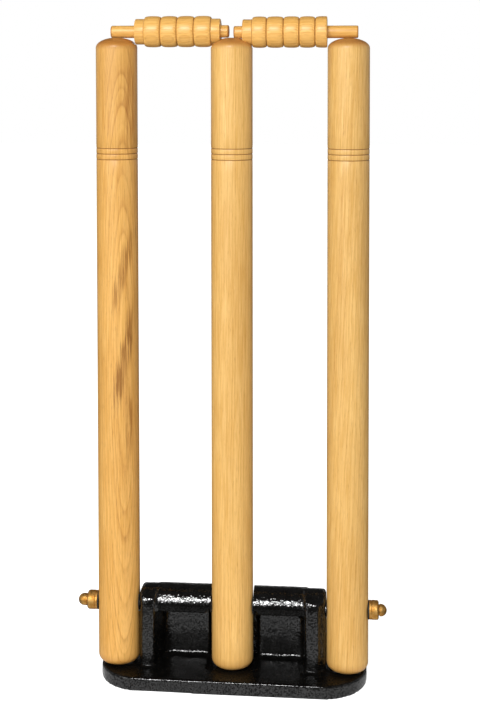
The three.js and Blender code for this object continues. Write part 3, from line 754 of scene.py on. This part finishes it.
def bail_profile(places, end_bead):
    """Spigot, collar, four beads, then a collar or a bead cut square, then the outer spigot."""
    tip, collar, *valleys, barrel_end, end = places
    rounding, edge, step, seam = 1.4, 0.25, 0.2, 0.05
    chamfer = COLLAR_R - 0.9
    profile = eased([(0, tip), (SPIGOT_R, tip), (SPIGOT_R, collar - seam)], rounding)
    profile += [(chamfer, collar), (COLLAR_R - edge, collar + edge), (COLLAR_R, collar + 1)]
    profile.append((COLLAR_R, valleys[0] - step))
    for start, stop in zip(valleys, valleys[1:]):
        profile += bead(start, stop)[:-1]
    last = valleys[-1]
    profile.append((VALLEY_R, last))
    if end_bead:
        profile += bead(last, last + (barrel_end - last) / 0.78, 0.7)[1:]
        profile += [(BEAD_R - 0.03, barrel_end - 1.2), (BEAD_R - 0.3, barrel_end - 0.3),
                    (BEAD_R - 1, barrel_end)]
    else:
        profile += [(COLLAR_R, last + step), (COLLAR_R, barrel_end - 1),
                    (COLLAR_R - edge, barrel_end - edge), (chamfer, barrel_end)]
    return profile + eased([(SPIGOT_R, barrel_end + seam), (SPIGOT_R, end), (0, end)], rounding)


bail_left = turned("turned_bail_left", [(r, -h) for r, h in bail_profile(LEFT_BAIL, False)],
                   ASH_BAIL_LEFT, "X", (0, 0, LEFT_BAIL_Z), 80)
bail_right = turned("turned_bail_right", bail_profile(RIGHT_BAIL, True),
                    ASH_BAIL_RIGHT, "X", (0, 0, RIGHT_BAIL_Z), 80)
for piece, node in ((bail_left, "bail_left"), (bail_right, "bail_right")):
    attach(piece, node)
    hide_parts(node)


# Rod, washers, bushes and nuts, all turned about the rod
def ring_profile(outer, bore, low, high, edge=0.2):
    loop = eased([(bore, low), (outer, low), (outer, high), (bore, high)], edge, 3)
    return loop + [loop[0]]


def nut_profile(body, dome):
    """A round nut with a rounded shoulder, a neck and a dome."""
    neck, edge, shoulder = DOME_R - 0.55, 0.25, 2
    profile = [(0, 0), (NUT_R - edge, 0), (NUT_R, edge)]
    profile += [(NUT_R - shoulder + r, body - shoulder + h) for r, h in arc((0, 0), shoulder, 0, 90, 10)]
    profile += [(neck + 0.2, body), (neck, body + 0.2), (neck, body + 0.75)]
    profile += [(DOME_R - 0.15, body + 0.9), (DOME_R, body + 1.1)]
    profile += [(r, body + dome - DOME_R + h) for r, h in arc((0, 0), DOME_R, 0, 90, 16)]
    profile[-1] = (0, profile[-1][1])
    return profile


def on_rod(name, node, profile, finish, body="stumps", sign=1, start=0.0, sides=48):
    mirrored = [(r, sign * (h + start)) for r, h in profile]
    piece = turned(name, mirrored, finish, "X", (0, 0, ROD_Z), sides)
    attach(piece, body)
    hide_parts(node)
    return piece


rod_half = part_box("pivot_rod")[1].x / MM
rod = eased([(0, -rod_half), (ROD_R, -rod_half), (ROD_R, rod_half), (0, rod_half)], 0.6)
on_rod("drawn_rod", "pivot_rod", rod, STEEL)
spot_face = STUMP_SPACING + STUMP_R - SPOT_DEPTH
for side, sign, body, dome in (("left", -1, NUT_LENGTH, DOME_LENGTH + 1.7),
                               ("right", 1, NUT_LENGTH - 0.9, DOME_LENGTH)):
    on_rod("fibre_" + side, "fibre_washer_" + side,
           ring_profile(WASHER_R, BORE_R, spot_face, spot_face + FIBRE_END), FIBRE, sign=sign)
    on_rod("brass_" + side, "brass_washer_" + side,
           ring_profile(WASHER_R, BORE_R, spot_face + FIBRE_END, spot_face + BRASS_END, 0.45),
           BRASS, sign=sign)
    on_rod("domed_nut_" + side, "cap_nut_" + side, nut_profile(body, dome), BRASS,
           sign=sign, start=spot_face + BRASS_END, sides=72)
    on_rod("spacer_" + side, "spacer_washer_" + side,
           ring_profile(SPACER_R, BORE_R, LUG_FACE + 0.1, SPACER_END), BLACKENED_AND_SHADE, sign=sign)
    on_rod("thrust_" + side, "thrust_washer_" + side,
           ring_profile(THRUST_R, BORE_R, THRUST_START, THRUST_END), BLACKENED_AND_SHADE, sign=sign)
    on_rod("bush_" + side, "bearing_bush_" + side,
           ring_profile(BUSH_R, BORE_R, BUSH_START, LUG_OUTER, 0.4), BRONZE, "base", sign)


# Torsion springs: each wire ends in a hole of its lug and runs into the centre stump
WIRE_R, WIRE_BEND = 1.3, 1.8


def spring_path(sign, turns=12, steps=24):
    coil_start, coil_end, coil_r, tail_r, tail = 21.65, 62.05, 6.0, 9.8, -45
    into_stump, into_lug, straight, bend = 12.5, 70.5, 3.4, 0.8

    def at(x, radius, degrees):
        a = math.radians(degrees)
        return (sign * x, radius * math.cos(a), ROD_Z + radius * math.sin(a))

    points = [at(x, tail_r, tail) for x in (into_stump, coil_start - straight, coil_start - bend)]
    total = turns * steps
    lead = steps // 2
    for i in range(3, total - 2):
        share = max(0.0, 1 - min(i, total - i) / lead)
        ease = share * share * (3 - 2 * share)
        x = coil_start + (coil_end - coil_start) * i / total
        points.append(at(x, coil_r + (tail_r - coil_r) * ease, tail + 360 * i / steps))
    return points + [at(x, tail_r, tail) for x in (coil_end + bend, coil_end + straight, into_lug)]


for side, sign in (("left", -1), ("right", 1)):
    name = "wound_spring_" + side
    spring = through_nodes(name, points_mesh(name, spring_path(sign), True), WIRE, WIRE_INPUT, {
        "radius": WIRE_R * MM, "bend": WIRE_BEND * MM, "sides": 12, "finish": SPRING_STEEL_AND_SHADE})
    tidy(spring.data, 50)
    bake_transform(spring)
    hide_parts("torsion_spring_" + side)


# Lock screws, seen from behind
SCREW_HEAD_END = STUMP_R - 1.2
SCREW_HEAD, SCREW_HEAD_R, SCREW_SHANK_R = 3, 4, 2.5
SCREW_SLOT, SCREW_SLOT_HALF = 1.2, 0.6

for side, x in (("left", -STUMP_SPACING), ("centre", 0), ("right", STUMP_SPACING)):
    shoulder = SCREW_HEAD_END - SCREW_HEAD
    profile = eased([
        (0, BORE_R), (SCREW_SHANK_R, BORE_R), (SCREW_SHANK_R, shoulder), (SCREW_HEAD_R, shoulder),
        (SCREW_HEAD_R, SCREW_HEAD_END), (0, SCREW_HEAD_END)], 0.5)
    screw = turned("slotted_screw_" + side, [(r, -h) for r, h in profile], STEEL, "Y", (x, 0, ROD_Z), 48)
    slot = block("slot", (x - 9, SCREW_HEAD_END - SCREW_SLOT, ROD_Z - SCREW_SLOT_HALF),
                 (x + 9, SCREW_HEAD_END + 5, ROD_Z + SCREW_SLOT_HALF))
    joined(screw, [slot], "DIFFERENCE")
    tidy(screw.data, 30)
    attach(screw, "stumps")
    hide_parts("lock_screw_" + side)


# Stop buffer: a moulded rubber pad
PAD_EDGE = 1.2
pad = block("rubber_pad", *(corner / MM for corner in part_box("stop_buffer")))
bevel = pad.modifiers.new("edge", "BEVEL")
bevel.width = PAD_EDGE * MM
bevel.segments = 4
settled(pad)
pad.data.materials.append(RUBBER)
tidy(pad.data, 50)
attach(pad, "base")
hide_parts("stop_buffer")


# Casting: plate, lugs, hood and web, then fused, filled in its corners and roughened
VOXEL = 1.15
WAVE_SCALE, WAVE_HEIGHT = 130, 0.16
SAND_SCALE, SAND_HEIGHT, SAND_SHIFT = 380, 0.11, Vector((7, 3, 5))
# How far behind and below the rod the hole for the spring's end lies
SPRING_HOLE, SPRING_HOLE_R = 6.93, 1.7
BUSH_EASE = 0.3
THRUST_BAY = 20.6
CENTRE_RELIEF_Z = 10.2
SIDE_RELIEF_HALF, SIDE_RELIEF_Z = 12.5, 10.8


def plate():
    """The plate leans in a little towards its top, and its right corners are rounder."""
    left, right, front, rear = -120.5, 122.2, -36.75, 78
    left_corner, right_corner, edge, lean = 38, 43, 1, 0.3
    skew, skew_from = 0.01, -35

    def ring_at(z, inset):
        made = []
        for x, y, corner, start in (
                (right - right_corner, rear - right_corner, right_corner, 0),
                (left + left_corner, rear - left_corner, left_corner, 90),
                (left + left_corner, front + left_corner, left_corner, 180),
                (right - right_corner, front + right_corner, right_corner, 270)):
            made += arc((x, y), corner - inset, start, start + 90, 24)
        return [(x, y - (max(0, x - skew_from) * skew if y < 0 else 0), z) for x, y in made]

    levels = [ring_at(0, lean), ring_at(0.4, 0)]
    for r, h in arc((0, 0), edge, 0, 90, 8):
        levels.append(ring_at(PLATE_TOP - edge + h, lean + edge - r))
    return stack("casting", levels)


def lug(sign, nose_in, nose_out, shoulder):
    """A lug that tapers forwards to a nose, with a sloped and rounded head.

    It is the part that three outlines share: from the side, from above and from the front.
    """
    crest, head, back, bend, fall = 83.2, 12, 2.4, 11, math.radians(46)
    low = crest - head * (1 - math.cos(fall))
    run = head * math.sin(fall)
    bend_y = LUG_FRONT + bend
    bend_end = bend_y - bend * math.sin(fall)
    bend_z = low - (back - run - bend_end) * math.tan(fall) - bend * math.cos(fall)
    side = [(LUG_FRONT, ROOT_Z)] + arc((bend_y, bend_z), bend, 180, 134, 14)
    side += arc((back, crest - head), head, 136, 55, 14)
    side += [(WEB_REAR, crest - 24), (WEB_REAR, ROOT_Z)]
    plan = [
        (LUG_INNER, WEB_REAR), (LUG_INNER, WEB_FRONT), (nose_in - 1.8, LUG_FRONT + 2.6),
        (nose_in - 1, LUG_FRONT + 0.9), (nose_in + 0.6, LUG_FRONT), (nose_out - 0.8, LUG_FRONT),
        (nose_out + 0.6, LUG_FRONT + 0.8), (nose_out + 1.6, LUG_FRONT + 2.6),
        (LUG_FACE - 1.3, LUG_FRONT + 5), (LUG_FACE, LUG_FRONT + 8.5), (LUG_FACE, WEB_REAR),
    ]
    inner_x, inner_r = LUG_INNER + 1.5, 2.5
    front = [(LUG_INNER - 1, ROOT_Z), (LUG_FACE, ROOT_Z)]
    for x, h in arc((LUG_FACE - shoulder, 0), shoulder, 0, 90, 8):
        front.append((x, crest - shoulder * 1.3 + h * 1.3))
    front.append((inner_x, crest))
    front += arc((inner_x, crest - inner_r), inner_r, 90, 180, 4)[1:]
    made = prism("lug", side, "X", *sorted((sign * (LUG_INNER - 1), sign * LUG_FACE)))
    above = prism("plan", [(sign * x, y) for x, y in plan], "Z", ROOT_Z, crest)
    ahead = prism("front", [(sign * x, z) for x, z in front], "Y", LUG_FRONT, WEB_REAR)
    return joined(made, [above, ahead], "INTERSECT")


def gusset(sign):
    """The rounded corner between a lug and the web, under the hood."""
    radius, top = 7.5, 66
    start, inside = LUG_INNER - 5.5, LUG_INNER + 4
    ahead, behind = WEB_FRONT - radius, WEB_FRONT + 2
    outline = arc((start, ahead), radius, 90, 0, 10)
    outline += [(inside, ahead), (inside, behind), (start, behind)]
    return prism("gusset", [(sign * x, y) for x, y in outline], "Z", ROOT_Z, top)


def hood():
    """The hood's section: a round crown, a flatter face, a tight lip, and the web that carries it."""
    top, crown, face, lip = 82.3, 15.5, 37, 7
    face_angle, lip_angle = 147, 155
    outline = arc((5.8, top - crown), crown, face_angle, 30, 30)
    for radius, start, last in ((face, face_angle, lip_angle), (lip, lip_angle, 180)):
        a = math.radians(start)
        middle = Vector(outline[0]) - Vector((math.cos(a), math.sin(a))) * radius
        outline = arc(middle, radius, last, start, 12)[:-1] + outline
    front = outline[0][0]
    foot, fillet = WEB_FRONT - 5, 5
    outline = [(front + 0.2, HOOD_LIP)] + outline
    outline += [(WEB_REAR, ROD_Z - 1), (WEB_REAR, ROOT_Z), (foot, ROOT_Z), (foot, PLATE_TOP)]
    outline += arc((foot, PLATE_TOP + fillet), fillet, -90, 0, 8)[1:]
    outline += [(WEB_FRONT, ROD_Z - 9)] + arc((5.6, 65.5), 13.4, 10, 176, 32)
    outline.append((front + 2.6, HOOD_LIP))
    return prism("hood", outline, "X", -LUG_INNER - 5, LUG_INNER + 5)


def cast_skin(mesh, voxel, fillet, fill_steps, soft_steps):
    """Fills concave corners up to a fillet, rounds every edge a little and roughens the skin, but
    leaves the outer faces of the lugs as machined."""
    count = len(mesh.vertices)
    place = np.empty(count * 3)
    mesh.vertices.foreach_get("co", place)
    place = place.reshape(-1, 3)
    ends = np.empty(len(mesh.edges) * 2, int)
    mesh.edges.foreach_get("vertices", ends)
    a, b = ends.reshape(-1, 2).T
    degree = np.bincount(ends, minlength=count)[:, None]
    mesh.calc_loop_triangles()
    corners = np.empty(len(mesh.loop_triangles) * 3, int)
    mesh.loop_triangles.foreach_get("vertices", corners)
    corners = corners.reshape(-1, 3)
    firm = np.clip((place[:, 2] / MM - 0.6) / 1.6, 0, 1)[:, None]

    def spread(values):
        total = np.empty_like(values)
        for k in range(values.shape[1]):
            total[:, k] = np.bincount(a, values[b, k], count) + np.bincount(b, values[a, k], count)
        return total / degree

    def normals():
        p, q, r = (place[corners[:, k]] for k in range(3))
        face = np.cross(q - p, r - p)
        total = np.zeros_like(place)
        for k in range(3):
            for axis in range(3):
                total[:, axis] += np.bincount(corners[:, k], face[:, axis], count)
        return total / np.maximum(np.linalg.norm(total, axis=1), 1e-12)[:, None]

    hollow = (voxel * MM) ** 2 / (4 * fillet * MM)
    for _ in range(fill_steps):
        way = normals()
        rise = ((spread(place) - place) * way).sum(1, keepdims=True)
        place += way * np.maximum(rise - hollow, 0) * 0.6 * firm
    for _ in range(soft_steps):
        place += (spread(place) - place) * 0.5 * firm
    way = normals()
    rough = np.array([
        noise.noise(Vector(p) * WAVE_SCALE) * WAVE_HEIGHT
        + noise.noise(Vector(p) * SAND_SCALE + SAND_SHIFT) * SAND_HEIGHT
        for p in place
    ])
    place += way * rough[:, None] * MM * firm
    upright = place[:, 2] > (PLATE_TOP + 3) * MM
    place[upright, 0] = np.clip(place[upright, 0], -LUG_FACE * MM, LUG_FACE * MM)
    mesh.vertices.foreach_set("co", place.ravel())
    mesh.update()


casting = plate()
joined(casting, [hood(), gusset(-1), gusset(1), lug(-1, 72, 81.4, 7), lug(1, 68.2, 78.2, 4)], "UNION")
hollows = [
    block("pocket", (-POCKET_HALF, -18, PLATE_TOP), (POCKET_HALF, POCKET_REAR, POCKET_TOP)),
    block("relief", (-POCKET_HALF, -13, CENTRE_RELIEF_Z), (POCKET_HALF, 14, 20)),
]
for x in (-STUMP_SPACING, STUMP_SPACING):
    low = (x - SIDE_RELIEF_HALF, -8.5, SIDE_RELIEF_Z)
    hollows.append(block("relief", low, (x + SIDE_RELIEF_HALF, 9, 20)))
joined(casting, hollows, "DIFFERENCE")
remesh = casting.modifiers.new("fuse", "REMESH")
remesh.mode = "VOXEL"
remesh.voxel_size = VOXEL * MM
settled(casting)
cast_skin(casting.data, VOXEL, fillet=1.9, fill_steps=12, soft_steps=3)

rod_place = (0, 0, ROD_Z)
bores = [
    block("stump_slot", (-SLOT_HALF, -18, SLOT_FLOOR), (SLOT_HALF, 34, 90)),
    rod_cutter(THRUST_R + SPOT_EASE, -THRUST_BAY, THRUST_BAY, "X", rod_place),
]
for sign in (-1, 1):
    near, far = sorted((sign * (LUG_INNER - 6), sign * (LUG_OUTER + 6)))
    bores.append(rod_cutter(BUSH_R + BUSH_EASE, near, far, "X", rod_place))
    near, far = sorted((sign * (LUG_INNER - 6), sign * (LUG_INNER + 8.3)))
    spring_end = (0, SPRING_HOLE, ROD_Z - SPRING_HOLE)
    bores.append(rod_cutter(SPRING_HOLE_R, near, far, "X", spring_end, 24))
joined(casting, bores, "DIFFERENCE")
casting.data.materials.clear()
casting.data.materials.append(ENAMEL)
tidy(casting.data, 60)
casting.name = "rough_casting"
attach(casting, "base")
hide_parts("cast_base")


# Light: a large soft box in front and above on the left, a white floor, a white room behind
def softbox(name, place, target, size, power):
    light = bpy.data.lights.new(name, "AREA")
    light.shape = "RECTANGLE"
    light.size, light.size_y = size
    light.energy = power
    made = bpy.data.objects.new(name, light)
    bpy.context.scene.collection.objects.link(made)
    way = Vector(target) - Vector(place)
    made.matrix_world = Matrix.Translation(place) @ way.to_track_quat("-Z", "Y").to_matrix().to_4x4()
    return made


softbox("wide", (-1.6, -2.1, 0.95), (0, 0, 0.2), (2.1, 1.4), 20)
softbox("key", (-0.3, -2.1, 1.56), (0, 0, 0.1), (0.84, 0.46), 43.5)


def ray_kinds(tree):
    return add(tree, "ShaderNodeLightPath").outputs


def white_room():
    """White for the camera, a soft fill for matt surfaces, and a dim room with lit sides for gloss."""
    world = bpy.data.worlds.new("room")
    bpy.context.scene.world = world
    world.use_nodes = True
    sky = world.node_tree
    sky.nodes.clear()
    rays = ray_kinds(sky)
    way = split(sky, add(sky, "ShaderNodeTexCoord").outputs["Generated"])
    backward = ramp(sky, way[1], [(0.0, 0.0), (0.5, 1.0)])
    low = ramp(sky, way[2], [(0.18, 1.0), (0.42, 0.0)])
    aside = ramp(sky, calc(sky, "ABSOLUTE", way[0]), [(0.35, 0.0), (0.85, 1.0)])
    behind = calc(sky, "ADD", product(sky, backward, low, 0.3), 0.06)
    mirrored = calc(sky, "MAXIMUM", behind, product(sky, aside, 0.3))
    level = ramp(sky, calc(sky, "ABSOLUTE", way[2]), [(0.25, 0.5), (0.8, 0.1)])
    level = product(sky, level, calc(sky, "ADD", product(sky, way[0], 0.8), 1))
    fill = blend_colour(sky, rays["Is Glossy Ray"], level, mirrored)
    room = blend_colour(sky, rays["Is Camera Ray"], fill, (1, 1, 1, 1))
    lit = add(sky, "ShaderNodeBackground", {"Color": room, "Strength": 1.0})
    add(sky, "ShaderNodeOutputWorld", {"Surface": lit.outputs[0]})


def white_paper():
    """Matt white that keeps the shadow; gloss on the object sees it dark but for a lit strip ahead."""
    paper, tree = new_finish("white_paper")
    rays = ray_kinds(tree)
    local = add(tree, "ShaderNodeTexCoord").outputs["Object"]
    sideways, ahead, _ = split(tree, local)
    strip = ramp(tree, calc(tree, "ADD", ahead, 0.8), [
        (0.58, 0.0), (0.64, 1.0), (0.79, 1.0), (0.83, 0.0)])
    narrow = ramp(tree, calc(tree, "ABSOLUTE", sideways), [(0.15, 1.0), (0.2, 0.0)])
    matt = add(tree, "ShaderNodeBsdfDiffuse", {"Color": (0.8, 0.8, 0.8, 1)})
    brighter = ramp(tree, length_of(tree, local), [(0.16, 0.85), (0.3, 1.0)])
    glow = add(tree, "ShaderNodeEmission", {"Color": (1, 1, 1, 1), "Strength": brighter})
    bright = add(tree, "ShaderNodeAddShader", {0: matt.outputs[0], 1: glow.outputs[0]})
    straight = calc(tree, "MAXIMUM", rays["Is Camera Ray"], rays["Is Transmission Ray"])
    seen = add(tree, "ShaderNodeMixShader", {0: straight, 1: matt.outputs[0], 2: bright.outputs[0]})
    reflected = calc(tree, "ADD", product(tree, strip, narrow, 0.74), 0.03)
    mirrored = add(tree, "ShaderNodeEmission", {"Color": (1, 1, 1, 1), "Strength": reflected})
    mixed = add(tree, "ShaderNodeMixShader", {
        0: rays["Is Glossy Ray"], 1: seen.outputs[0], 2: mirrored.outputs[0]})
    add(tree, "ShaderNodeOutputMaterial", {"Surface": mixed.outputs[0]})
    return paper


white_room()
FLOOR_HALF, FLOOR_DEPTH = 9000, 4
floor = block("floor", (-FLOOR_HALF, -FLOOR_HALF, -FLOOR_DEPTH), (FLOOR_HALF, FLOOR_HALF, 0))
floor.data.materials.append(white_paper())
floor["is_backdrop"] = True

low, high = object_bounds()
